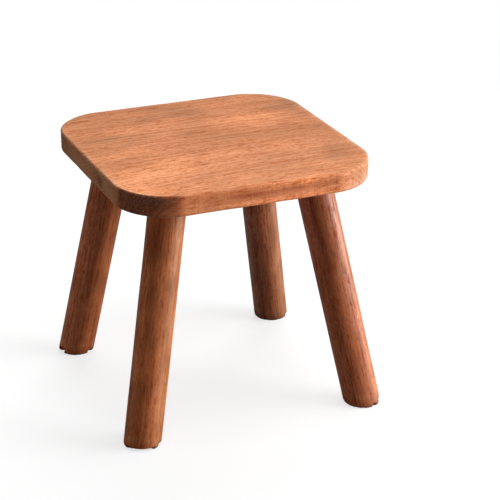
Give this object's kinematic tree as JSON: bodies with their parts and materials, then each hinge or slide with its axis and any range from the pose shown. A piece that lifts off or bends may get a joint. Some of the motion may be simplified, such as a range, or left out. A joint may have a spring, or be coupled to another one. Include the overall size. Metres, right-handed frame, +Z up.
{
  "type": "wooden milking stool",
  "caption": "Low wooden stool with a square round-cornered plank seat glued up from boards, on straight round legs that splay outwards and end in blind wedged tenons.",
  "frame": {"origin": "on the floor, under the middle of the seat, which is also the middle of the ground the feet span", "axes": "+Z up, out of the top of the seat; +X to the stool's right, along the grain of the seat; -Y is the front"},
  "size_m": [0.294, 0.2838, 0.28],
  "materials": {
    "seat_wood": "oiled, satin",
    "leg_wood": "oiled, satin",
    "wedge_wood": "dry, unfinished"
  },
  "bodies": {
    "root": {"seat_board_front": "seat_wood", "seat_board_mid_front": "seat_wood", "seat_board_mid_back": "seat_wood", "seat_board_back": "seat_wood", "leg_front_left": "leg_wood", "leg_front_right": "leg_wood", "leg_back_left": "leg_wood", "leg_back_right": "leg_wood", "tenon_wedge_front_left": "wedge_wood", "tenon_wedge_front_right": "wedge_wood", "tenon_wedge_back_left": "wedge_wood", "tenon_wedge_back_right": "wedge_wood"}
  },
  "joints": []
}
